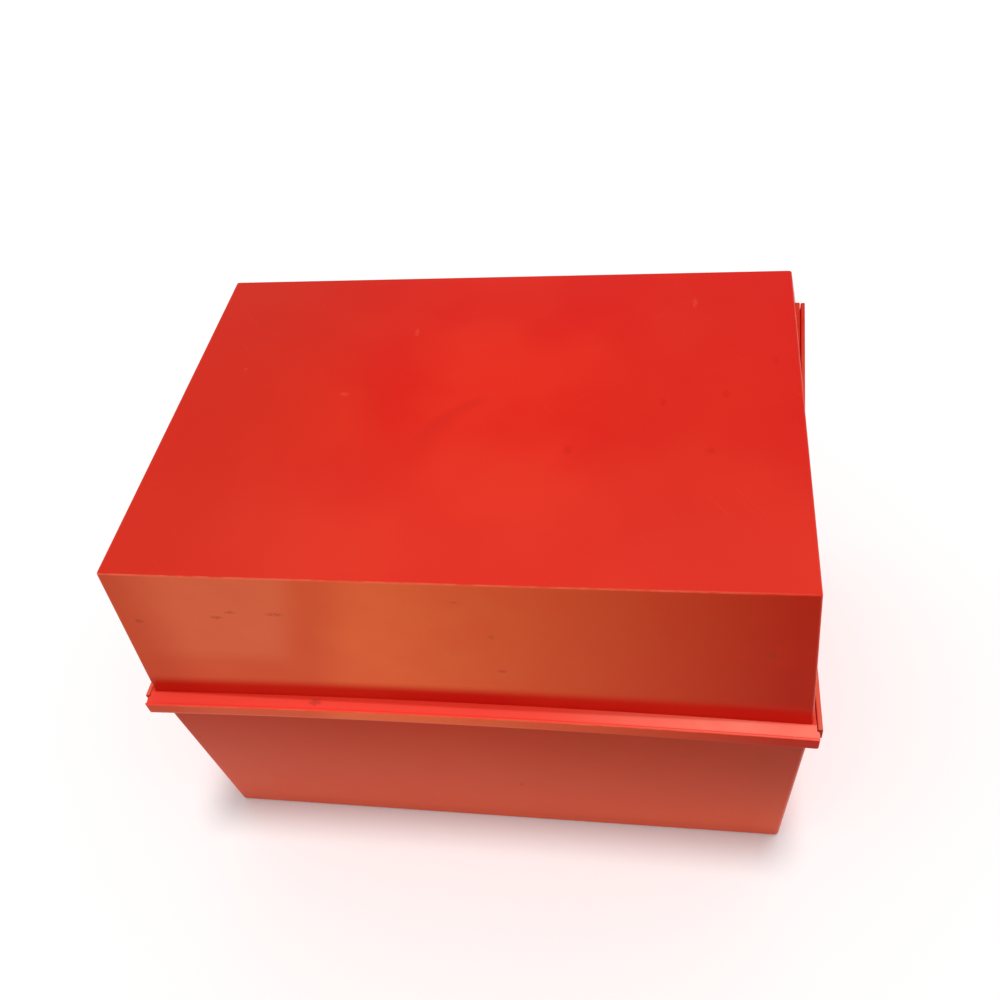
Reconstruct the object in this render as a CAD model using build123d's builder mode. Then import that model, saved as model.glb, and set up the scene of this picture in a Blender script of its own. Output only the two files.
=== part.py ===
# Recipe box for standard 5 by 3 inch cards: two injection-moulded shells on two pin hinges.
#
# Lengths are in millimetres and angles in degrees. X runs across the box, the front faces -Y
# and Z is up. The origin is the middle of the underside, on the surface the box stands on.
#
# The seam between the shells is level from the front to a little behind the middle. From
# there it climbs to the back, so the lid is deep in front and shallow at the hinges.

import os
from math import acos, cos, degrees, radians, sin, tan

from build123d import *

# Cards, and the room beside them at the floor
card_width = 127.0
card_play = 1.35

# Moulding
wall = 2.0
floor = 2.4
base_edge_radius = 1.0
lid_edge_radius = 0.45
lid_corner_radius = 0.6
inside_radius = 1.0

# Outside sizes of the base at the underside, and of the closed box
base_width = card_width + 2 * (card_play + wall)
base_depth = 91.9
box_height = 94.2

# How far each wall leans out between its flat face and the rim where the shells meet
base_side_flare = 2.35
base_front_flare = 2.45
base_back_flare = 0.95
lid_side_flare = 2.2
lid_front_flare = 2.15
lid_back_flare = 0.65
rim_width = base_width + 2 * base_side_flare
rim_front = base_depth / 2 + base_front_flare
rim_back = base_depth / 2 + base_back_flare

# Seam between the shells
seam_height = 53.9
seam_bend = 2.1
seam_angle = 33.0

# Flanges along the seam, measured outwards from the walls
flange_thickness = 1.6
lid_flange = 0.55
base_flange = 1.7
base_front_flange = 0.85
flange_setback = 0.3
bead_height = 1.5
bead_edge_radius = 0.3
flange_edge_radius = 0.3
side_play = 0.15

# Finger lip across the front of the lid
lip_depth = 3.3
lip_slope = 15.0
lip_drop = 1.9
lip_wall = 1.3
lip_stand_out = 0.5
lip_bead_radius = 0.4
lip_foot_radius = 0.4
lip_play = 0.3

# Hinges
hinge_inset = 25.2
lid_knuckle = 10.0
base_knuckle = 5.0
knuckle_gap = 0.3
pin_radius = 1.0
pin_play = 0.05
pin_stand_out = 0.4
pin_end_chamfer = 0.3
barrel_radius = 2.6
barrel_play = 0.4
arm_height = 6.0
arm_angle = 45.0
gusset_height = 8.0
gusset_foot_radius = 0.3
web_play = 0.3
heel_bite = 0.6
heel_tip_radius = 0.3
open_angle = 105.0
stop_play = 0.15

# How far cutting shapes run past what they cut
overrun = 4.0
cavity_reach = 1.1

# An edge whose direction has more Z than this is upright, and one with less X lies in the
# side view. Two heights closer than the last value are the same.
upright_share = 0.7
side_view_share = 0.1
same_height = 0.01


def seam_z(y, offset=0.0):
    """Height of the seam at a depth y, or of a line at an offset square to it."""
    level = seam_height + offset
    climb = seam_height + offset / cos(radians(seam_angle)) + (y - seam_bend) * tan(radians(seam_angle))
    return max(level, climb)


def seam_corner(offset):
    """The point in the side view where an offset seam line starts to climb."""
    return (seam_bend - offset * tan(radians(seam_angle / 2)), seam_height + offset)


def shell_form(flat_z, side_flare, front_flare, back_flare, inset=0.0, reach=1.0):
    """A drafted block from a flat face to the seam.

    The sides are ruled between the straight edges of the flat face and the rim, so they
    twist a little where the seam climbs. The inset pulls every wall in, and a reach over 1
    carries the walls on past the seam.
    """
    flat_half = rim_width / 2 - side_flare - inset
    end_half = flat_half + side_flare * reach
    with BuildPart() as form:
        for y in (-rim_front - overrun, seam_bend, rim_back + overrun):
            end_z = flat_z + (seam_z(y) - flat_z) * reach
            with BuildSketch(Plane.XZ.offset(-y)):
                with BuildLine():
                    Polyline(
                        (-flat_half, flat_z),
                        (flat_half, flat_z),
                        (end_half, end_z),
                        (-end_half, end_z),
                        close=True,
                    )
                make_face()
        loft(ruled=True)
        flat_front = front_flare - rim_front + inset
        flat_back = rim_back - back_flare - inset
        front_height = seam_z(-rim_front) - flat_z
        back_height = seam_z(rim_back) - flat_z
        run = max(front_height, back_height, key=abs) * cavity_reach
        with BuildSketch(Plane.YZ):
            with BuildLine():
                Polyline(
                    (flat_front, flat_z),
                    (flat_back, flat_z),
                    (flat_back + back_flare * run / back_height, flat_z + run),
                    (flat_front - front_flare * run / front_height, flat_z + run),
                    close=True,
                )
            make_face()
        extrude(amount=rim_width, both=True, mode=Mode.INTERSECT)
    return form.part


def corner_edges(shell):
    """The four corner edges of a drafted block, without the creases in its side walls."""
    upright = shell.edges().filter_by(lambda edge: abs(edge.tangent_at(0.5).Z) > upright_share)
    ranks = upright.group_by(Axis.Y)
    return ranks[0] + ranks[-1]


def long_edges(strip, offset):
    """The edges of a strip that run along the seam at an offset square to it."""
    return strip.edges().filter_by(
        lambda edge: abs(edge.tangent_at(0.5).X) < side_view_share
        and abs((edge @ 0.5).Z - seam_z((edge @ 0.5).Y, offset)) < same_height
        and edge.length > 2 * flange_thickness
    )


def seam_band(x, y_front, y_back, low, high):
    """Side view of a strip that follows the seam, between two offsets square to it."""
    with BuildSketch(Plane.YZ.offset(x)) as band:
        with BuildLine():
            Polyline(
                (y_front, seam_height + low),
                seam_corner(low),
                (y_back, seam_z(y_back, low)),
                (y_back, seam_z(y_back, high)),
                seam_corner(high),
                (y_front, seam_height + high),
                close=True,
            )
        make_face()
    return band.sketch


# Hinge axis, just behind the back walls at the height of the seam there
axis_y = rim_back + barrel_play + barrel_radius
axis_z = seam_z(rim_back)
hinge_centres = (hinge_inset - rim_width / 2, rim_width / 2 - hinge_inset)
web_root_y = rim_back - wall / 2

# Each lid knuckle has a heel that would bite into the back wall of the base. It is turned so
# that its tip comes to rest just short of that wall with the lid at its open angle.
wall_distance = barrel_play + barrel_radius
heel_arm = wall_distance + heel_bite - heel_tip_radius
heel_dip = degrees(acos((wall_distance - stop_play - heel_tip_radius) / heel_arm))
heel_angle = radians(open_angle + heel_dip)
heel_y = axis_y - heel_arm * cos(heel_angle)
heel_z = axis_z - heel_arm * sin(heel_angle)


def base_knuckle_profile(x):
    """Side view of a base knuckle: a barrel on a web that runs down the back wall."""
    with BuildSketch(Plane.YZ.offset(x)) as profile:
        with Locations((axis_y, axis_z)):
            Circle(barrel_radius)
        with Locations((web_root_y, axis_z - gusset_height)):
            Circle(gusset_foot_radius)
        make_hull()
        with BuildLine():
            Polyline(
                (web_root_y, axis_z - gusset_height),
                (axis_y, axis_z - web_play),
                (web_root_y, seam_z(web_root_y) - web_play),
                close=True,
            )
        make_face()
    return profile.sketch


def lid_knuckle_profile(x):
    """Side view of a lid knuckle: a barrel with a stop heel, on an arm up the back wall."""
    with BuildSketch(Plane.YZ.offset(x)) as profile:
        with Locations((axis_y, axis_z)):
            Circle(barrel_radius)
        with Locations((heel_y, heel_z)):
            Circle(heel_tip_radius)
        make_hull()
        shoulder_y = axis_y + barrel_radius * cos(radians(arm_angle))
        shoulder_z = axis_z + barrel_radius * sin(radians(arm_angle))
        with BuildLine():
            Polyline(
                (web_root_y, axis_z + web_play),
                (axis_y, axis_z + web_play),
                (shoulder_y, shoulder_z),
                (web_root_y, axis_z + arm_height),
                close=True,
            )
        make_face()
    return profile.sketch


def pin_bore(x, radius):
    """Cross section of the bore for a hinge pin."""
    with BuildSketch(Plane.YZ.offset(x)) as bore:
        with Locations((axis_y, axis_z)):
            Circle(radius)
    return bore.sketch


# Base
base_flares = (base_side_flare, base_front_flare, base_back_flare)
base_form = shell_form(0.0, *base_flares)
base_hollow = shell_form(0.0, *base_flares, wall, cavity_reach)
with BuildPart() as base_cavity:
    add(base_hollow)
    split(bisect_by=Plane.XY.offset(floor), keep=Keep.TOP)
    floor_edges = base_cavity.faces().sort_by(Axis.Z)[0].edges()
    fillet(corner_edges(base_cavity) + floor_edges, inside_radius)

flange_front = -rim_front - base_front_flange
flange_back = rim_back - flange_setback
base_flange_half = rim_width / 2 + base_flange
bead_inner = rim_width / 2 + lid_flange + side_play
with BuildPart() as side_bead:
    extrude(
        seam_band(bead_inner, flange_front, flange_back, -flange_thickness, bead_height),
        amount=base_flange_half - bead_inner,
    )
    fillet(long_edges(side_bead, bead_height), bead_edge_radius)
    mirror(about=Plane.YZ)

with BuildPart() as base:
    add(base_form)
    fillet(corner_edges(base) + base.faces().sort_by(Axis.Z)[0].edges(), base_edge_radius)
    extrude(
        seam_band(-base_flange_half, flange_front, flange_back, -flange_thickness, 0.0),
        amount=2 * base_flange_half,
    )
    add(side_bead.part)
    add(base_cavity.part, mode=Mode.SUBTRACT)
    for hinge_x in hinge_centres:
        for side in (-1, 1):
            knuckle_x = hinge_x + side * (lid_knuckle / 2 + knuckle_gap + base_knuckle / 2)
            extrude(base_knuckle_profile(knuckle_x - base_knuckle / 2), amount=base_knuckle)
            extrude(
                pin_bore(knuckle_x - base_knuckle / 2, pin_radius),
                amount=base_knuckle,
                mode=Mode.SUBTRACT,
            )

# Lid
lid_flares = (lid_side_flare, lid_front_flare, lid_back_flare)
lid_form = shell_form(box_height, *lid_flares)
lid_hollow = shell_form(box_height, *lid_flares, wall, cavity_reach)
with BuildPart() as lid_cavity:
    add(lid_hollow)
    split(bisect_by=Plane.XY.offset(box_height - wall), keep=Keep.BOTTOM)
    ceiling_edges = lid_cavity.faces().sort_by(Axis.Z)[-1].edges()
    fillet(corner_edges(lid_cavity) + ceiling_edges, inside_radius)

# Finger lip across the front of the lid: a shelf that slopes down to a half-round bead, and a
# skirt turned down, which hangs over the front flange of the base. Its ends stand out past the
# side flanges by their own corner radius, in front of the flange of the base.
lid_flange_half = rim_width / 2 + lid_flange
lip_half = lid_flange_half + lip_stand_out
lip_front = rim_front + lip_depth
lip_root = rim_front - wall / 2
lip_top = seam_height + flange_thickness
lip_foot = seam_height - lip_drop
pocket_front = lip_front - lip_wall
pocket_back = rim_front + base_front_flange + lip_play
bead_y = lip_bead_radius - lip_front
bead_z = lip_top - (lip_depth - 2 * lip_bead_radius) * tan(radians(lip_slope))
with BuildPart() as lip:
    with BuildSketch(Plane.YZ):
        with BuildLine():
            bead_back = (bead_y + lip_bead_radius, bead_z)
            bead_edge = (bead_y - lip_bead_radius, bead_z)
            shelf = Polyline((-lip_root, lip_top), (-rim_front, lip_top), bead_back)
            ThreePointArc(bead_back, (bead_y, bead_z + lip_bead_radius), bead_edge)
            Polyline(bead_edge, (-lip_front, lip_foot), (-lip_root, lip_foot), shelf @ 0)
        make_face()
    extrude(amount=lip_half, both=True)
    with BuildSketch() as lip_plan:
        with Locations((0, -(lip_front + pocket_back) / 2)):
            Rectangle(2 * lip_half, lip_front - pocket_back)
        fillet(lip_plan.vertices(), lip_stand_out)
        with Locations((0, -(pocket_front + lip_root) / 2)):
            Rectangle(2 * lid_flange_half, pocket_front - lip_root)
    extrude(amount=box_height, mode=Mode.INTERSECT)
    with BuildSketch(Plane.XY.offset(seam_height)):
        with Locations((0, -(pocket_back + lip_root) / 2)):
            Rectangle(2 * lid_flange_half, pocket_back - lip_root)
        with Locations((0, -(pocket_front + lip_root) / 2)):
            Rectangle(2 * (lid_flange_half - lip_wall), pocket_front - lip_root)
    extrude(amount=-lip_drop, mode=Mode.SUBTRACT)
    fillet(lip.faces().sort_by(Axis.Z)[0].outer_wire().edges().sort_by(Axis.Y)[0], lip_foot_radius)

with BuildPart() as lid_band:
    extrude(
        seam_band(-lid_flange_half, -lip_root, flange_back, 0.0, flange_thickness),
        amount=2 * lid_flange_half,
    )
    fillet(long_edges(lid_band, flange_thickness), flange_edge_radius)

with BuildPart() as lid:
    add(lid_form)
    fillet(corner_edges(lid), lid_corner_radius)
    fillet(lid.faces().sort_by(Axis.Z)[-1].edges(), lid_edge_radius)
    add(lid_band.part)
    add(lip.part)
    add(lid_cavity.part, mode=Mode.SUBTRACT)
    for hinge_x in hinge_centres:
        extrude(lid_knuckle_profile(hinge_x - lid_knuckle / 2), amount=lid_knuckle)
        extrude(
            pin_bore(hinge_x - lid_knuckle / 2, pin_radius + pin_play),
            amount=lid_knuckle,
            mode=Mode.SUBTRACT,
        )

# Hinge pins: pressed into the base knuckles, with the lid knuckle free to turn between them
pin_length = lid_knuckle + 2 * (knuckle_gap + base_knuckle + pin_stand_out)
with BuildPart() as hinge_pin_left:
    extrude(pin_bore(hinge_centres[0] - pin_length / 2, pin_radius), amount=pin_length)
    chamfer(hinge_pin_left.edges().filter_by(GeomType.CIRCLE), pin_end_chamfer)
with BuildPart() as hinge_pin_right:
    add(hinge_pin_left.part)
    mirror(about=Plane.YZ, mode=Mode.REPLACE)

base.part.label = "base"
lid.part.label = "lid"
hinge_pin_left.part.label = "hinge_pin_left"
hinge_pin_right.part.label = "hinge_pin_right"

os.makedirs("parts", exist_ok=True)
for piece in (base.part, lid.part, hinge_pin_left.part, hinge_pin_right.part):
    export_step(piece, f"parts/{piece.label}.step")
    print(piece.label, round(piece.volume), "mm3")
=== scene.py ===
# %% [markdown]
# # A recipe box of red moulded plastic
#
# The real box is two thin shells moulded in a glossy red plastic. A deep lid sits on a base,
# and two short steel pins at the back let it swing open. The sizes are settled already in
# the solid model, which this script loads as its frame. What is left for Blender is the
# look of the thing: how old plastic shines, where it has gone dull, and how its thin front
# has sunk a little between the corners.

# %% Load the frame
import math

import bmesh
import bpy
from mathutils import Euler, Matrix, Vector


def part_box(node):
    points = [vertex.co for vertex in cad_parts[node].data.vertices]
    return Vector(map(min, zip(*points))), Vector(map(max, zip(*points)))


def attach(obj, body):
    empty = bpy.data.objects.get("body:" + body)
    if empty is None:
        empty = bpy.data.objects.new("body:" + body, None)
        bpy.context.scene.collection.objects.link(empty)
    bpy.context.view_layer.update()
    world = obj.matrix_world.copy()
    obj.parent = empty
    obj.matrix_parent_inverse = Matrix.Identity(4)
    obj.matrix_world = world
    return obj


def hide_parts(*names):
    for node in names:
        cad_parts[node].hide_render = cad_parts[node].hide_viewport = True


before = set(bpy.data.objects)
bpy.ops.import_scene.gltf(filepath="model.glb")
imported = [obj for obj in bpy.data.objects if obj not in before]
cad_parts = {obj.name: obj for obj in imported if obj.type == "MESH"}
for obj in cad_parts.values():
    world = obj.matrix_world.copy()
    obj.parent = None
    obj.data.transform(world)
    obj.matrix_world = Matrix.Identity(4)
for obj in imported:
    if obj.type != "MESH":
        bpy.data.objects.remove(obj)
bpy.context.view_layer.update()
MM = 0.001
scene = bpy.context.scene

print("nodes", sorted(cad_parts))

# %% [markdown]
# ## The camera
#
# A camera can be solved from a photograph of a box, because its edges are straight and
# parallel in the real thing. Here the solution says that the camera stood in front and a
# little to the right, looked down at about 47 degrees, and was tilted in the hand. Blender
# takes a place, a point to look at, a turn about the line of sight and a focal length. The
# lens is given for a 36 mm wide sensor, which is Blender's own.

# %% Place the camera
camera_place = Vector((43.1, -156.2, 239.4)) * MM
camera_target = Vector((8.9, -25.6, 94.2)) * MM
camera_roll = math.radians(-9.95)
camera_lens = 37.26

camera_data = bpy.data.cameras.new("camera")
camera_data.lens = camera_lens
camera_data.clip_start = 10 * MM
camera = bpy.data.objects.new("camera", camera_data)
scene.collection.objects.link(camera)
sight = camera_target - camera_place
camera.location = camera_place
camera.rotation_mode = "QUATERNION"
camera.rotation_quaternion = (
    sight.to_track_quat("-Z", "Y") @ Euler((0, 0, camera_roll)).to_quaternion()
)
scene.camera = camera

print("the camera looks down at", round(math.degrees(math.asin(-sight.normalized().z)), 1), "degrees")

# %% [markdown]
# ## Small helpers for node trees
#
# Materials and Geometry Nodes are both made of nodes, and a script that makes many of them
# reads better with a few short words: add a node, feed a socket, do some arithmetic, turn a
# value into a soft step. Most helpers hand back an output socket, so that calls can be put
# one inside another like sums.

# %% Helpers: nodes and arithmetic
def add_node(tree, kind, **settings):
    """A new node, with some of its own settings filled in."""
    node = tree.nodes.new(kind)
    for name, value in settings.items():
        setattr(node, name, value)
    return node


def feed(tree, socket, value):
    """Links a socket to an output, or gives it a plain value."""
    if isinstance(value, bpy.types.NodeSocket):
        tree.links.new(value, socket)
    else:
        socket.default_value = value


def do_math(tree, operation, *values):
    """One Math node, fed with outputs or plain numbers."""
    node = add_node(tree, "ShaderNodeMath", operation=operation)
    for socket, value in zip(node.inputs, values):
        feed(tree, socket, value)
    return node.outputs[0]


def vector_math(tree, operation, *values):
    """One Vector Math node, fed with outputs or plain vectors. It hands back all its outputs."""
    node = add_node(tree, "ShaderNodeVectorMath", operation=operation)
    for socket, value in zip(node.inputs, values):
        feed(tree, socket, value)
    return node.outputs


def product(tree, *values):
    """All the values multiplied together."""
    result = values[0]
    for value in values[1:]:
        result = do_math(tree, "MULTIPLY", result, value)
    return result


# %% Helpers: steps and mixes
def soft_step(tree, value, start, end, low=0.0, high=1.0, shape="SMOOTHSTEP"):
    """Goes smoothly from low to high while the value goes from start to end."""
    node = add_node(tree, "ShaderNodeMapRange", interpolation_type=shape)
    feed(tree, node.inputs["Value"], value)
    node.inputs["From Min"].default_value = start
    node.inputs["From Max"].default_value = end
    node.inputs["To Min"].default_value = low
    node.inputs["To Max"].default_value = high
    return node.outputs["Result"]


def named_socket(sockets, identifier):
    """The socket with an identifier, where several share a name."""
    return next(socket for socket in sockets if socket.identifier == identifier)


def blend_colours(tree, share, first, second):
    """A mix from the first colour to the second, by a share from 0 to 1."""
    node = add_node(tree, "ShaderNodeMix", data_type="RGBA")
    feed(tree, named_socket(node.inputs, "Factor_Float"), share)
    feed(tree, named_socket(node.inputs, "A_Color"), first)
    feed(tree, named_socket(node.inputs, "B_Color"), second)
    return named_socket(node.outputs, "Result_Color")


# %% [markdown]
# ## Floor and light
#
# A product shot on white has a pale floor that runs out of the picture, a soft lamp overhead
# and a pale room all round. The lamp and the room are kept at a plain level, so that a
# colour renders about as it is written. The white of the picture is left to the Light Path
# node: rays that come straight from the camera, or that are mirrored or pass through glass,
# meet a whiter room and floor than the rays that light the box. For those rays the floor
# glows a little as well, because white paper under this lamp stays just short of white.

# %% Rays that show the room
def seen_directly(tree):
    """1 for a ray of the camera, of a mirror or of glass, and 0 for a ray that lights things."""
    path = add_node(tree, "ShaderNodeLightPath")
    shown = do_math(tree, "MAXIMUM", path.outputs["Is Camera Ray"], path.outputs["Is Glossy Ray"])
    return do_math(tree, "MAXIMUM", shown, path.outputs["Is Transmission Ray"])


# %% The room
white = (1.0, 1.0, 1.0, 1.0)
room_light = (0.55, 0.55, 0.55, 1.0)

world = bpy.data.worlds.new("pale room")
scene.world = world
world.use_nodes = True
room_tree = world.node_tree
room_colour = blend_colours(room_tree, seen_directly(room_tree), room_light, white)
room_tree.links.new(room_colour, room_tree.nodes["Background"].inputs["Color"])
scene.view_settings.view_transform = "Standard"

print("the room lights at", room_light[0], "and shows at", white[0])

# %% The floor
floor_reach = 3.0

floor_mesh = bpy.data.meshes.new("floor")
floor_signs = ((-1, -1), (1, -1), (1, 1), (-1, 1))
floor_corners = [(x * floor_reach, y * floor_reach, 0.0) for x, y in floor_signs]
floor_mesh.from_pydata(floor_corners, [], [(0, 1, 2, 3)])
floor = bpy.data.objects.new("floor", floor_mesh)
scene.collection.objects.link(floor)

print("the floor is", 2 * floor_reach, "m wide")

# %% Paper for the floor
floor_light = (0.80, 0.78, 0.74, 1.0)
floor_glow = 0.06

paper = bpy.data.materials.new("floor paper")
paper.use_nodes = True
paper_shader = paper.node_tree.nodes["Principled BSDF"]
paper_shader.inputs["Roughness"].default_value = 1.0
paper_shader.inputs["Specular IOR Level"].default_value = 0.0
paper_seen = seen_directly(paper.node_tree)
paper_colour = blend_colours(paper.node_tree, paper_seen, floor_light, white)
paper.node_tree.links.new(paper_colour, paper_shader.inputs["Base Color"])
paper_shader.inputs["Emission Color"].default_value = white
paper_glow = product(paper.node_tree, paper_seen, floor_glow)
paper.node_tree.links.new(paper_glow, paper_shader.inputs["Emission Strength"])
floor_mesh.materials.append(paper)

print("the floor lights with", floor_light[:3], "and glows at", floor_glow)

# %% [markdown]
# ## The lamp
#
# One wide sun is enough. A sun lights the whole floor alike, and a spread of some degrees
# softens the shadows. It stands almost straight above and a little to the right. From there
# the sloping shelf of the lip mirrors it at its right end, and the upright front gets next
# to none of it: what lights the front is the pale room and the floor.

# %% The lamp
sun_level = 1.42
sun_spread = 12
sun_towards = Vector((0.05, 0.0, 1.0))


def soft_sun(name, level, spread, towards):
    """A wide sun in a direction, given as a vector that points to it."""
    data = bpy.data.lights.new(name, "SUN")
    data.energy = level
    data.angle = math.radians(spread)
    lamp = bpy.data.objects.new(name, data)
    scene.collection.objects.link(lamp)
    lamp.rotation_mode = "QUATERNION"
    lamp.rotation_quaternion = (-towards).to_track_quat("-Z", "Y")
    print(name, "stands", round(math.degrees(towards.angle(Vector((0, 0, 1))))), "degrees off the zenith")


soft_sun("overhead", sun_level, sun_spread, sun_towards)

# %% [markdown]
# ## Where things are on the box
#
# The wear and the painted light follow the shape: the lip has painted highlights, the front a
# painted warm reflection and painted shade, and the edges are rubbed pale. So the materials need
# to know where the walls and the seam are. All of that is read from the box of the lid's CAD
# node, in millimetres, and only what the box doesn't say is written down.

# %% Measures for the materials
lid_low, lid_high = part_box("lid")
rim_height = 53.9
shelf_rise = 1.6
lip_depth = 3.3
side_wall = 69.2
shelf_height = rim_height + shelf_rise
lid_top = lid_high.z / MM
lip_bottom = lid_low.z / MM
lip_front = lid_low.y / MM
lip_root_y = lip_front + lip_depth
half_width = lid_high.x / MM

print("lid top", round(lid_top, 1), "lip front", round(lip_front, 1), "half width", round(half_width, 1))

# %% [markdown]
# ## Places, sides and clouds in a material
#
# A procedural material asks two questions of a surface: where is this point, and which way
# does it face? Both come from Texture Coordinate, whose Object output is the place and whose
# Normal output is the direction, both fixed to the piece, so the pattern stays put when the
# lid opens. The place is multiplied up to millimetres, and then a noise of size 8 really
# has blotches of 8 mm. A Mapping node of the type Texture divides by the size after it has
# turned the place, so that a stretched pattern stays stretched along its own turned axis.

# %% Helpers: place and direction
def read_place(tree):
    """The place in millimetres, as a vector and as X, Y and Z, and the direction."""
    coordinate = add_node(tree, "ShaderNodeTexCoord")
    place = vector_math(tree, "MULTIPLY", coordinate.outputs["Object"], (1 / MM, 1 / MM, 1 / MM))["Vector"]
    spot = add_node(tree, "ShaderNodeSeparateXYZ")
    tree.links.new(place, spot.inputs[0])
    facing = add_node(tree, "ShaderNodeSeparateXYZ")
    tree.links.new(coordinate.outputs["Normal"], facing.inputs[0])
    return place, spot.outputs, facing.outputs


def clouds(tree, place, size, detail=2.0, stretch=(1.0, 1.0, 1.0), shift=0.0, turn=0.0):
    """Noise from 0 to 1 with blotches of a size in millimetres, longer along a stretched axis."""
    mapping = add_node(tree, "ShaderNodeMapping", vector_type="TEXTURE")
    tree.links.new(place, mapping.inputs["Vector"])
    mapping.inputs["Location"].default_value = (shift, shift, shift)
    mapping.inputs["Rotation"].default_value = (0.0, 0.0, math.radians(turn))
    mapping.inputs["Scale"].default_value = tuple(size * part for part in stretch)
    noise = add_node(tree, "ShaderNodeTexNoise")
    tree.links.new(mapping.outputs[0], noise.inputs["Vector"])
    noise.inputs["Scale"].default_value = 1.0
    noise.inputs["Detail"].default_value = detail
    return noise.outputs["Fac"]


# %% [markdown]
# ## Red plastic
#
# The plastic is coloured through, so one red is the base of it all. On it lie, from large to
# small: slow clouds where the red has faded unevenly, painted reflection and shade on the
# upright walls, painted highlights on the lip, a faint ring and a few spots on the lid, dark
# scuffs, a pale rubbed line along the edges, and fine scratches. Real plastic is never quite
# even in gloss either, so smudges drive the roughness. The moulded skin is not flat: a slow
# waviness from the cooling and a fine orange peel go into the bump.
#
# Each layer is a share from 0 to 1 and a colour, mixed over what lies below it. That keeps
# every layer readable, and each can be made stronger or weaker by itself.
#
# The colours come first. A colour in Blender is an amount of light and not the value of a
# pixel, so a green of 0.05 is no black: on the screen it shows as a quarter of full green.
# The shades all have much red, some green and hardly any blue, because the glossy skin adds
# some white of the room to whatever lies under it.

# %% Colours of the plastic
deep_red = (0.75, 0.0140, 0.0080, 1.0)
faded_red = (0.80, 0.0260, 0.0110, 1.0)
dull_red = (0.62, 0.0220, 0.0090, 1.0)
worn_red = (0.66, 0.0160, 0.0110, 1.0)
hazy_red = (0.80, 0.0580, 0.0340, 1.0)
# A dark red for faint spots on the lid, and for the painted dark reflection of the lip in the wall above
# it.
spot_and_reflection_red = (0.50, 0.0070, 0.0030, 1.0)
# Painted reflection of a warm floor on the upright walls: warm, dimmer and paler.
painted_reflection_warm = (0.95, 0.1560, 0.0430, 1.0)
painted_reflection_dim = (0.83, 0.1120, 0.0340, 1.0)
painted_reflection_pale = (0.88, 0.1560, 0.0600, 1.0)
# Painted floor light, low on the base's front.
painted_floor_light = (0.83, 0.1200, 0.0550, 1.0)
# Painted shade on the lid's front, at its right and at its left end.
painted_shade_red = (0.53, 0.0160, 0.0010, 1.0)
# Painted shade under the lip and painted shadow at the right, on the base's front.
painted_lip_shade = (0.54, 0.0360, 0.0010, 1.0)
painted_shadow_brown = (0.37, 0.0280, 0.0010, 1.0)
# Painted highlights on the lip's shelf, paler towards its right end.
painted_shelf_light = (0.98, 0.0750, 0.0500, 1.0)
painted_shelf_glint = (0.98, 0.1800, 0.1300, 1.0)
dusty_red = (0.78, 0.1300, 0.0750, 1.0)
# Pale for rubbed edges, scratches and nicks, and for the painted highlight along the lip's lower edge.
rubbed_edge_and_highlight = (0.86, 0.1500, 0.0800, 1.0)
scuff_brown = (0.36, 0.0350, 0.0140, 1.0)

print("deep red sends back", deep_red[0], "of the red light and", deep_red[1], "of the green")

# %% [markdown]
# ## Which way a surface faces
#
# Wear depends on the side: the lid's top has things put on it, the front is handled, and the
# inside sees little of either. So the direction is compared with the axes, by soft steps,
# and a rounded edge passes from one finish to the next without a seam. Outside and inside
# are told apart by the sign of a product: where the place, seen from the middle of the box,
# and the direction point the same way, the surface looks outward.

# %% Shares by direction
def outward_share(tree, spot, facing):
    """1 where a surface looks away from the middle of the box, and 0 inside the shells."""
    away = product(tree, facing["X"], spot["X"])
    away = do_math(tree, "ADD", away, product(tree, facing["Y"], spot["Y"]))
    height = do_math(tree, "SUBTRACT", spot["Z"], lid_top / 2)
    away = do_math(tree, "ADD", away, product(tree, facing["Z"], height))
    return soft_step(tree, away, -6.0, 6.0)


def front_share(tree, facing):
    """1 on a wall that faces the front."""
    return soft_step(tree, facing["Y"], -0.6, -0.9)


def other_walls_share(tree, facing):
    """1 on the left, right and back walls."""
    sideways = do_math(tree, "ABSOLUTE", facing["X"])
    return soft_step(tree, do_math(tree, "MAXIMUM", sideways, facing["Y"]), 0.6, 0.9)


def top_share(tree, facing):
    """1 on a face that looks up."""
    return soft_step(tree, facing["Z"], 0.6, 0.9)


def edge_share(tree, facing):
    """1 on rounded edges, which face none of the six directions squarely."""
    largest = do_math(tree, "ABSOLUTE", facing["X"])
    for axis in ("Y", "Z"):
        largest = do_math(tree, "MAXIMUM", largest, do_math(tree, "ABSOLUTE", facing[axis]))
    return soft_step(tree, largest, 0.96, 0.86)


# %% [markdown]
# ## Scratches and single marks
#
# Scratches are a noise that is stretched about a hundred times along one axis and cut off
# near its top, so that only thin streaks are left. A second, slower noise gathers them in
# patches. A single mark is simpler still: the way to its centre is divided by its size on
# each axis, and the length of that is below 1 inside the mark. A fine noise pushes the
# place to and fro before that, which makes the outline ragged.

# %% Scratches
def scratch_share(tree, place, turn, shift):
    """Hair-thin scratches along one direction."""
    thin = clouds(tree, place, 0.16, 0.0, (110.0, 1.0, 110.0), shift, turn)
    patch = clouds(tree, place, 14.0, 1.0, (1.0, 1.0, 1.0), shift)
    return product(tree, soft_step(tree, thin, 0.78, 0.84), soft_step(tree, patch, 0.52, 0.66))


# %% Single marks
mark_raggedness = 1.6


def mark_share(tree, ragged_place, centre, reach):
    """1 at the centre of one mark and 0 outside it. The reach is half its size on each axis."""
    away = vector_math(tree, "SUBTRACT", ragged_place, centre)["Vector"]
    scaled = vector_math(tree, "DIVIDE", away, reach)["Vector"]
    return soft_step(tree, vector_math(tree, "LENGTH", scaled)["Value"], 1.0, 0.3)


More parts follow.
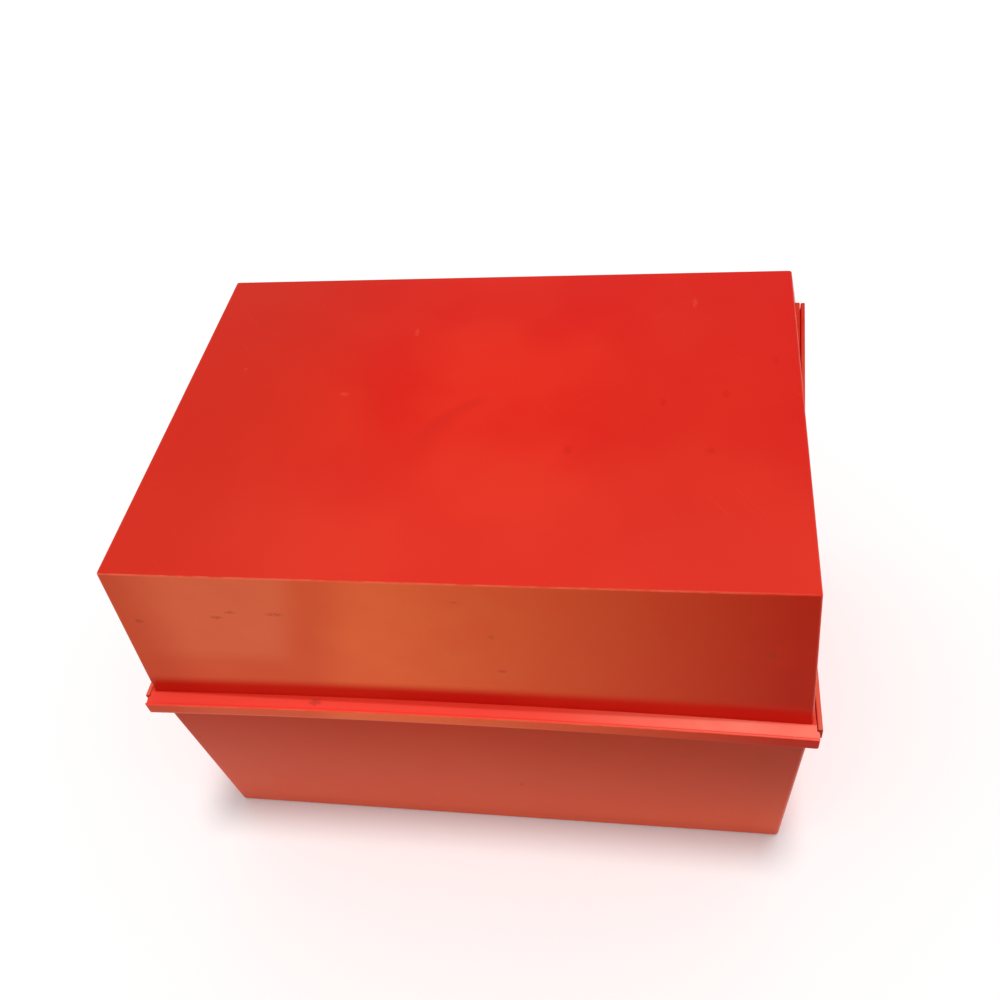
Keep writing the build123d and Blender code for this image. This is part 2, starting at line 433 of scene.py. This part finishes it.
def all_marks(tree, place, marks):
    """Every mark of a list, with edges made ragged by a fine noise."""
    noise = add_node(tree, "ShaderNodeTexNoise")
    tree.links.new(place, noise.inputs["Vector"])
    noise.inputs["Scale"].default_value = 1.4
    centred = vector_math(tree, "SUBTRACT", noise.outputs["Color"], (0.5, 0.5, 0.5))["Vector"]
    push = (mark_raggedness, mark_raggedness, mark_raggedness)
    ragged_place = vector_math(tree, "MULTIPLY_ADD", centred, push, place)["Vector"]
    share = 0.0
    for centre, reach in marks:
        share = do_math(tree, "MAXIMUM", share, mark_share(tree, ragged_place, centre, reach))
    return share


# %% [markdown]
# ## Where the marks of use are
#
# Marks scattered at random would do for any old box. On this one each mark has a place that
# can be seen, so they are listed: brown scuffs on the front and one on the lip,
# faint dark spots on the lid, and pale nicks where the skin is bruised. Three small
# functions know on which face a mark lies, and then a list needs only two coordinates for
# each. A front wall leans a little, so a mark on it reaches deep enough for the whole slope.

# %% The marks, in millimetres
front_y = lip_root_y + 0.7


def on_front(x, z, reach_x, reach_z):
    """The place and reach of a mark on a front wall."""
    return (x, front_y, z), (reach_x, 3.0, reach_z)


def on_top(x, y, reach_x, reach_y):
    """The place and reach of a mark on the top of the lid."""
    return (x, y, lid_top), (reach_x, reach_y, 1.0)


def on_top_edge(x, reach_x):
    """The place and reach of a nick on the edge between the lid's front and its top."""
    return (x, front_y + 0.7, lid_top - 0.6), (reach_x, 0.7, 0.8)


scuff_marks = (
    on_front(-46.2, 81.9, 2.0, 0.7),
    on_front(-43.0, 83.6, 1.8, 0.6),
    on_front(-34.0, 83.5, 2.6, 0.8),
    on_front(-63.4, 80.0, 1.2, 0.9),
    on_front(2.2, 88.9, 1.4, 0.6),
    on_front(7.9, 78.9, 1.1, 0.9),
    on_front(9.0, 67.6, 1.5, 0.6),
    on_front(59.8, 76.9, 1.7, 1.1),
    on_front(7.7, 19.0, 0.9, 0.7),
    ((-32.4, lip_root_y - 0.3, shelf_height - 0.4), (1.9, 1.0, 1.6)),
)
faint_spots = (
    on_top(51.7, 4.5, 1.0, 1.6),
    on_top(39.1, 1.8, 1.0, 1.4),
    on_top(48.6, -11.9, 1.2, 1.2),
    on_top(62.1, 15.0, 0.8, 1.5),
    on_top(20.8, -11.9, 1.1, 1.8),
)
pale_nicks = (
    on_top(-16.9, 25.4, 0.7, 1.8),
    on_top(-29.2, 4.6, 1.6, 0.8),
    on_top(45.4, 34.6, 0.6, 2.6),
    on_top(-54.8, 13.2, 0.5, 0.6),
    on_top_edge(30.6, 0.7),
    on_top_edge(35.6, 1.0),
)

print(len(scuff_marks), "scuffs,", len(faint_spots), "faint spots and", len(pale_nicks), "nicks")

# %% [markdown]
# ## The faint ring
#
# On the lid there is a short arc, as from the wet foot of a glass. A ring needs only the
# distance to its centre: the radius less that distance is 0 on the line and grows inwards.
# The outer edge is kept sharp and the inner one soft, as with a dried water mark, and the
# band narrows from its left end to its right. A coordinate along the arc ends it softly.

# %% The ring
ring_centre = (14.9, -23.1)
ring_radius = 30.1


def ring_share(tree, spot):
    """A short arc on the top of the lid, sharp outside, soft inside and wider at its left end."""
    side = do_math(tree, "SUBTRACT", spot["X"], ring_centre[0])
    depth = do_math(tree, "SUBTRACT", spot["Y"], ring_centre[1])
    square = do_math(tree, "ADD", product(tree, side, side), product(tree, depth, depth))
    inside = do_math(tree, "SUBTRACT", ring_radius, do_math(tree, "SQRT", square))
    along = do_math(tree, "ADD", side, depth)
    width = soft_step(tree, along, -8.0, 8.0, 7.0, 3.2)
    band = soft_step(tree, do_math(tree, "DIVIDE", inside, width), 1.0, 0.3)
    band = product(tree, band, soft_step(tree, inside, -1.0, 0.8))
    ends = soft_step(tree, do_math(tree, "ABSOLUTE", along), 17.0, 10.0)
    return product(tree, band, ends, soft_step(tree, depth, 4.0, 12.0))


print("the ring is", 2 * ring_radius, "mm across")

# %% [markdown]
# ## The layers of the lid
#
# The lid has the most to show. Its top is dull at the left, worn at the right and at the
# rear, and hazy towards the front edge. Its front has a painted warm reflection, paler in a
# painted patch at the left, whose right edge leans, and painted shade to the right and at the
# left end. The painted reflection stops short of the lip, and just above the lip the wall has
# a painted dark reflection of it. The sloping shelf of the lip has painted highlights, paler
# to the right, and a thin painted highlight along its lower edge. Each part has a function of
# its own, and the last one lays them over each other.

# %% The top of the lid
def top_layers(tree, colour, spot, top, uneven):
    """Wear at the right, the rear and the ring, dullness at the left, a hazier red towards the front."""
    worn = soft_step(tree, spot["Y"], 10.0, 46.0, 0.0, 0.5)
    worn = do_math(tree, "MAXIMUM", worn, soft_step(tree, spot["X"], 10.0, 44.0, 0.0, 0.5))
    worn = do_math(tree, "MAXIMUM", worn, product(tree, ring_share(tree, spot), 0.42))
    dull = product(tree, soft_step(tree, spot["X"], 0.0, -58.0), 0.85)
    hazy = product(
        tree,
        soft_step(tree, spot["Y"], 6.0, -44.0),
        soft_step(tree, spot["X"], -64.0, -22.0, 0.2, 0.44),
    )
    colour = blend_colours(tree, product(tree, worn, top, uneven), colour, worn_red)
    colour = blend_colours(tree, product(tree, dull, top, uneven), colour, dull_red)
    return blend_colours(tree, product(tree, hazy, top, uneven), colour, hazy_red)


# %% The front of the lid
# Where the paler painted patch of reflection ends, and how its edge leans.
patch_height = 76.0
patch_lean = 0.27


def lid_front_layers(tree, colour, spot, front, uneven):
    """Painted warm reflection with a paler painted patch that leans, painted shade at the right and the
    left end, and a painted dark reflection of the lip above it. Also the share of the painted light.
    """
    # A painted dark reflection of the lip in the wall just above it; the painted warm reflection stops
    # there.
    lip_reflection = soft_step(tree, spot["Z"], shelf_height - 0.5, shelf_height - 0.2)
    lip_reflection = product(tree, lip_reflection, soft_step(tree, spot["Z"], shelf_height + 6.5, shelf_height + 2.5))
    clear = do_math(tree, "SUBTRACT", 1.0, lip_reflection)
    lean = product(tree, do_math(tree, "SUBTRACT", spot["Z"], patch_height), patch_lean)
    across = do_math(tree, "SUBTRACT", spot["X"], lean)
    # The painted reflection is dimmer at the left, and paler in a painted patch with a leaning edge.
    left = soft_step(tree, across, -18.5, -29.5)
    patch = product(
        tree,
        soft_step(tree, across, -29.5, -37.5),
        soft_step(tree, spot["Z"], 66.0, 72.0),
        soft_step(tree, spot["X"], -68.0, -52.0, 0.2, 1.0),
    )
    # Painted shade towards the right of the front.
    to_right = soft_step(tree, spot["X"], -14.0, 64.0, shape="LINEAR")
    painted_light_colour = blend_colours(tree, left, painted_reflection_warm, painted_reflection_dim)
    painted_light_colour = blend_colours(tree, patch, painted_light_colour, painted_reflection_pale)
    painted_light_colour = blend_colours(tree, to_right, painted_light_colour, painted_shade_red)
    painted_light_share = product(tree, front, clear, uneven)
    colour = blend_colours(tree, painted_light_share, colour, painted_light_colour)
    # The painted dark reflection of the lip.
    colour = blend_colours(tree, product(tree, front, lip_reflection, 0.34), colour, spot_and_reflection_red)
    # Painted shade at the left end of the front as well.
    corner = product(tree, front, soft_step(tree, spot["X"], -52.0, -67.0), 0.35)
    return blend_colours(tree, corner, colour, painted_shade_red), painted_light_share


# %% The lip
def lip_layers(tree, colour, spot, top, front, uneven):
    """A painted highlight along the lower edge of the lip, and painted highlights on its shelf, paler to
    the right.
    """
    # A painted highlight along the lower edge of the lip, stronger to the left.
    line = product(
        tree,
        front,
        soft_step(tree, spot["Z"], lip_bottom + 1.0, lip_bottom + 0.5),
        soft_step(tree, spot["X"], 30.0, -10.0, 0.0, 0.7),
        uneven,
    )
    colour = blend_colours(tree, line, colour, rubbed_edge_and_highlight)
    # Painted highlights on the lip's sloping shelf, paler to the right.
    shelf = product(tree, top, soft_step(tree, spot["Y"], lip_root_y + 0.3, lip_root_y - 0.3))
    shelf = product(tree, shelf, soft_step(tree, spot["X"], -68.0, -30.0, 0.7, 1.0))
    paler = soft_step(tree, spot["X"], 0.0, 60.0, 0.0, 0.5)
    shelf_highlight = blend_colours(tree, paler, painted_shelf_light, painted_shelf_glint)
    return blend_colours(tree, shelf, colour, shelf_highlight)


# %% The lid as a whole
def lid_layers(tree, colour, spot, facing, outward, uneven):
    """All that only the lid has, and the share of its painted light."""
    top = top_share(tree, facing)
    front = product(tree, front_share(tree, facing), outward)
    colour = top_layers(tree, colour, spot, top, uneven)
    colour, painted_light_share = lid_front_layers(tree, colour, spot, front, uneven)
    return lip_layers(tree, colour, spot, top, front, uneven), painted_light_share


# %% [markdown]
# ## The layers of the base
#
# The front of the base has painted light too: paler low down, where the floor lights it,
# painted shade under the lip towards the rim, and the darkest painted shadow up at the right
# corner. Two straight ramps are enough, one up the wall and one across it: mixed by the one
# and then by the other, three colours cover the wall.

# %% The base
def base_layers(tree, colour, spot, facing, outward, uneven):
    """All that only the base has: painted light and shade on its front, and the share of it."""
    front = product(tree, front_share(tree, facing), outward)
    high = soft_step(tree, spot["Z"], 6.0, 45.0, shape="LINEAR")
    to_right = soft_step(tree, spot["X"], -5.0, 64.0, shape="LINEAR")
    # Painted floor light low on the front, painted shade from the lip towards the rim, and painted shadow
    # at the upper right.
    painted_light_colour = blend_colours(tree, high, painted_floor_light, painted_lip_shade)
    painted_light_colour = blend_colours(tree, product(tree, to_right, high, 0.7), painted_light_colour, painted_shadow_brown)
    painted_light_share = product(tree, front, uneven)
    return blend_colours(tree, painted_light_share, colour, painted_light_colour), painted_light_share


# %% [markdown]
# ## The whole material
#
# Lid and base are moulded of the same plastic, so one function makes both materials, and
# takes the layers of the one or the other as an argument. The order: the red first, then what
# age has laid on it and the painted light and shade, then what use has rubbed through it.
# The marks also make the skin a little rougher and dent it.
#
# The gloss is low for a smooth surface, as with a plastic that has been wiped for years: the
# Specular IOR Level and a warm tint hold the mirrored white back, which would otherwise turn
# the red to pink. Both, and the IOR, are plain values on the shader.

# %% The red, what age has laid on it, and painted reflection on the side walls
def aged_and_reflected_colour(tree, spot, facing, outward, slow):
    """The moulded red, faded in clouds, with painted warm reflection on the side walls and dust on the
    flanges.
    """
    colour = blend_colours(tree, soft_step(tree, slow, 0.36, 0.66), deep_red, faded_red)
    walls = product(tree, other_walls_share(tree, facing), outward)
    # Painted warm reflection on the side walls, uneven in clouds.
    side_reflection = product(tree, walls, soft_step(tree, slow, 0.30, 0.70, 0.22, 0.40))
    colour = blend_colours(tree, side_reflection, colour, painted_reflection_dim)
    beyond_wall = soft_step(tree, do_math(tree, "ABSOLUTE", spot["X"]), side_wall - 0.3, side_wall)
    dust = blend_colours(tree, soft_step(tree, spot["Y"], 20.0, -30.0), dull_red, dusty_red)
    return blend_colours(tree, product(tree, top_share(tree, facing), beyond_wall), colour, dust)


# %% What use has rubbed through it
def used_colour(tree, colour, place, spot, facing, outward):
    """The colour with rubbed edges, scratches and marks, and the share of the damaged skin."""
    rubbing = soft_step(tree, clouds(tree, place, 3.0, 2.0, shift=30.0), 0.35, 0.65, 0.25, 0.8)
    rubbing = product(tree, rubbing, soft_step(tree, spot["X"], 30.0, 66.0, 1.0, 0.3))
    rubbing = product(tree, edge_share(tree, facing), rubbing, outward)
    colour = blend_colours(tree, rubbing, colour, rubbed_edge_and_highlight)
    first = scratch_share(tree, place, 35.0, 10.0)
    second = scratch_share(tree, place, -52.0, 50.0)
    scratches = product(tree, do_math(tree, "MAXIMUM", first, second), top_share(tree, facing))
    colour = blend_colours(tree, product(tree, scratches, 0.14), colour, rubbed_edge_and_highlight)
    scuffs = all_marks(tree, place, scuff_marks)
    colour = blend_colours(tree, product(tree, scuffs, 0.42), colour, scuff_brown)
    spots = all_marks(tree, place, faint_spots)
    colour = blend_colours(tree, product(tree, spots, 0.26), colour, spot_and_reflection_red)
    nicks = all_marks(tree, place, pale_nicks)
    colour = blend_colours(tree, product(tree, nicks, 0.2), colour, rubbed_edge_and_highlight)
    damaged = do_math(tree, "MAXIMUM", scratches, do_math(tree, "MAXIMUM", scuffs, nicks))
    return colour, damaged


# %% Gloss and relief
def finish_skin(tree, shader, place, middling, painted_light_share, damaged):
    """Uneven gloss, and a bump of waves, orange peel and shallow dents, in millimetres."""
    smudges = soft_step(tree, middling, 0.3, 0.7, 0.18, 0.24)
    roughness = do_math(tree, "ADD", smudges, product(tree, painted_light_share, 0.02))
    roughness = do_math(tree, "ADD", roughness, product(tree, damaged, 0.02))
    tree.links.new(roughness, shader.inputs["Roughness"])
    shader.inputs["IOR"].default_value = 1.45
    shader.inputs["Specular IOR Level"].default_value = 0.07
    shader.inputs["Specular Tint"].default_value = (1.0, 0.84, 0.58, 1.0)

    wave = product(tree, clouds(tree, place, 16.0, 1.0, shift=15.0), 0.04)
    peel = product(tree, clouds(tree, place, 1.3, 1.0), 0.004)
    relief = do_math(tree, "ADD", do_math(tree, "ADD", wave, peel), product(tree, damaged, -0.006))
    bump = add_node(tree, "ShaderNodeBump")
    bump.inputs["Distance"].default_value = MM
    tree.links.new(relief, bump.inputs["Height"])
    tree.links.new(bump.outputs["Normal"], shader.inputs["Normal"])


# %% The material
def red_plastic(name, own_layers):
    """The worn red plastic, with the layers that only the lid or the base has."""
    material = bpy.data.materials.new(name)
    material.use_nodes = True
    tree = material.node_tree
    shader = tree.nodes["Principled BSDF"]
    place, spot, facing = read_place(tree)
    outward = outward_share(tree, spot, facing)
    slow = clouds(tree, place, 34.0, 2.0, shift=20.0)
    middling = clouds(tree, place, 10.0, 3.0, shift=70.0)
    uneven = soft_step(tree, middling, 0.25, 0.75, 0.88, 1.0)

    colour = aged_and_reflected_colour(tree, spot, facing, outward, slow)
    colour, painted_light_share = own_layers(tree, colour, spot, facing, outward, uneven)
    colour, damaged = used_colour(tree, colour, place, spot, facing, outward)
    tree.links.new(colour, shader.inputs["Base Color"])
    finish_skin(tree, shader, place, middling, painted_light_share, damaged)
    print(name, "has", len(tree.nodes), "nodes")
    return material


lid_plastic = red_plastic("lid red plastic", lid_layers)
base_plastic = red_plastic("base red plastic", base_layers)

# %% [markdown]
# ## The shells, and how their front sinks
#
# A moulded box with thin walls never stays quite flat. The front walls are stiff where they
# meet the top or the floor of the box, and at the corners, but along the open rims, where
# lid and base meet, they sink in by about a millimetre at the middle. The whole front
# follows one rule, so it is a job for Geometry Nodes: every point of the front wall moves
# back by a parabola across the width, times its share of the way from the flat face to the
# rim. The fillets, the lip and its bead then go along with the wall. Moving points by hand
# would leave the lip and the flange beneath it with two different curves.
#
# A flat wall has points only at its corners, and such a wall can't bend, so a copy of each
# shell is first sliced by upright planes. Edges sharper than a fillet's facets are marked
# sharp, so that smooth shading rounds the fillets and leaves the corners crisp.

# %% Slice a copy of a shell
slice_count = 28
sharp_angle = math.radians(35)


def sliced_copy(node_name, piece_name):
    """A merged copy of a node's mesh with extra edges across the width, as a new object."""
    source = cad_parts[node_name].data
    mesh = bpy.data.meshes.new(piece_name)
    work = bmesh.new()
    work.from_mesh(source)
    bmesh.ops.remove_doubles(work, verts=work.verts, dist=0.001 * MM)
    low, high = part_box(node_name)
    for turn in range(1, slice_count):
        cut_x = low.x + (high.x - low.x) * turn / slice_count
        everything = work.verts[:] + work.edges[:] + work.faces[:]
        bmesh.ops.bisect_plane(work, geom=everything, plane_co=(cut_x, 0, 0), plane_no=(1, 0, 0))
    bmesh.ops.triangulate(work, faces=work.faces)
    for face in work.faces:
        face.smooth = True
    for edge in work.edges:
        edge.smooth = edge.is_manifold and edge.calc_face_angle() < sharp_angle
    work.to_mesh(mesh)
    work.free()
    piece = bpy.data.objects.new(piece_name, mesh)
    scene.collection.objects.link(piece)
    print(piece_name, "has", len(mesh.polygons), "triangles")
    return piece


# %% The rule as a node tree
def sinking_tree():
    """Geometry Nodes: moves the front wall back, most at the middle of the rim."""
    tree = bpy.data.node_groups.new("sunken front", "GeometryNodeTree")
    tree.interface.new_socket("Geometry", in_out="INPUT", socket_type="NodeSocketGeometry")
    for name in ("Sink", "Half Width", "Flat Height", "Rim Height", "Fade Start", "Fade End"):
        tree.interface.new_socket(name, in_out="INPUT", socket_type="NodeSocketFloat")
    tree.interface.new_socket("Material", in_out="INPUT", socket_type="NodeSocketMaterial")
    tree.interface.new_socket("Geometry", in_out="OUTPUT", socket_type="NodeSocketGeometry")
    given = add_node(tree, "NodeGroupInput").outputs
    result = add_node(tree, "NodeGroupOutput")

    place = add_node(tree, "ShaderNodeSeparateXYZ")
    tree.links.new(add_node(tree, "GeometryNodeInputPosition").outputs[0], place.inputs[0])
    across = do_math(tree, "DIVIDE", place.outputs["X"], given["Half Width"])
    parabola = do_math(tree, "SUBTRACT", 1.0, do_math(tree, "MULTIPLY", across, across))
    parabola = do_math(tree, "MAXIMUM", parabola, 0.0)

    rise = add_node(tree, "ShaderNodeMapRange")
    feed(tree, rise.inputs["Value"], place.outputs["Z"])
    feed(tree, rise.inputs["From Min"], given["Flat Height"])
    feed(tree, rise.inputs["From Max"], given["Rim Height"])
    front = add_node(tree, "ShaderNodeMapRange", interpolation_type="SMOOTHSTEP")
    feed(tree, front.inputs["Value"], place.outputs["Y"])
    feed(tree, front.inputs["From Min"], given["Fade Start"])
    feed(tree, front.inputs["From Max"], given["Fade End"])

    share = product(tree, parabola, rise.outputs["Result"], front.outputs["Result"])
    back = add_node(tree, "ShaderNodeCombineXYZ")
    feed(tree, back.inputs["Y"], do_math(tree, "MULTIPLY", share, given["Sink"]))
    moved = add_node(tree, "GeometryNodeSetPosition")
    tree.links.new(given["Geometry"], moved.inputs["Geometry"])
    tree.links.new(back.outputs[0], moved.inputs["Offset"])
    real = add_node(tree, "GeometryNodeRealizeInstances")
    tree.links.new(moved.outputs["Geometry"], real.inputs["Geometry"])
    finish = add_node(tree, "GeometryNodeSetMaterial")
    tree.links.new(real.outputs["Geometry"], finish.inputs["Geometry"])
    tree.links.new(given["Material"], finish.inputs["Material"])
    tree.links.new(finish.outputs["Geometry"], result.inputs["Geometry"])
    return tree


# %% Bake a tree onto a piece
def bake_tree(piece, tree, inputs):
    """Runs a node tree on a piece, and leaves the result as its plain mesh."""
    sockets = {item.name: item.identifier for item in tree.interface.items_tree if item.in_out == "INPUT"}
    modifier = piece.modifiers.new(tree.name, "NODES")
    modifier.node_group = tree
    for name, value in inputs.items():
        modifier[sockets[name]] = value
    graph = bpy.context.evaluated_depsgraph_get()
    baked = bpy.data.meshes.new_from_object(piece.evaluated_get(graph))
    piece.modifiers.remove(modifier)
    piece.data = baked
    piece.data.name = piece.name
    return piece


# %% Make the two shells
front_sink = 1.0
front_fade = 6.0

sinking = sinking_tree()


def make_shell(node_name, piece_name, flat_height, material):
    """A shell with its sunken front, on the body that its node is on."""
    piece = sliced_copy(node_name, piece_name)
    inputs = {
        "Sink": front_sink * MM,
        "Half Width": half_width * MM,
        "Flat Height": flat_height * MM,
        "Rim Height": rim_height * MM,
        "Fade Start": (lip_front + 2 * front_fade) * MM,
        "Fade End": (lip_front + front_fade) * MM,
        "Material": material,
    }
    bake_tree(piece, sinking, inputs)
    shading = piece.modifiers.new("even shading", "WEIGHTED_NORMAL")
    shading.keep_sharp = True
    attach(piece, node_name)
    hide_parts(node_name)
    return piece


lid_shell = make_shell("lid", "lid_shell", lid_top, lid_plastic)
base_shell = make_shell("base", "base_shell", 0.0, base_plastic)

# %% [markdown]
# ## The hinge pins
#
# Each pin is a short length of drawn steel rod, pressed into the base. Drawing leaves fine
# lines along the rod, and years in a kitchen leave it a little dull with a few brown spots.
# The CAD nodes are good as they are, so they only get their finish.

# %% Drawn steel
def drawn_steel(name):
    """Dull steel with drawing lines along X and a few specks of rust."""
    material = bpy.data.materials.new(name)
    material.use_nodes = True
    tree = material.node_tree
    shader = tree.nodes["Principled BSDF"]
    place, _, _ = read_place(tree)
    lines = clouds(tree, place, 0.15, 1.0, (40.0, 1.0, 1.0))
    specks = soft_step(tree, clouds(tree, place, 0.9, 2.0, shift=3.0), 0.60, 0.68)
    steel = blend_colours(tree, lines, (0.40, 0.39, 0.37, 1.0), (0.58, 0.57, 0.55, 1.0))
    colour = blend_colours(tree, product(tree, specks, 0.7), steel, (0.16, 0.07, 0.03, 1.0))
    tree.links.new(colour, shader.inputs["Base Color"])
    shine = do_math(tree, "SUBTRACT", 1.0, product(tree, specks, 0.8))
    tree.links.new(shine, shader.inputs["Metallic"])
    tree.links.new(soft_step(tree, lines, 0.2, 0.8, 0.28, 0.46), shader.inputs["Roughness"])
    bump = add_node(tree, "ShaderNodeBump")
    bump.inputs["Distance"].default_value = 0.01 * MM
    tree.links.new(lines, bump.inputs["Height"])
    tree.links.new(bump.outputs["Normal"], shader.inputs["Normal"])
    return material


pin_steel = drawn_steel("pin steel")
for pin_name in ("hinge_pin_left", "hinge_pin_right"):
    pin_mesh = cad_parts[pin_name].data
    pin_mesh.materials.clear()
    pin_mesh.materials.append(pin_steel)
    print(pin_name, "is", pin_steel.name)
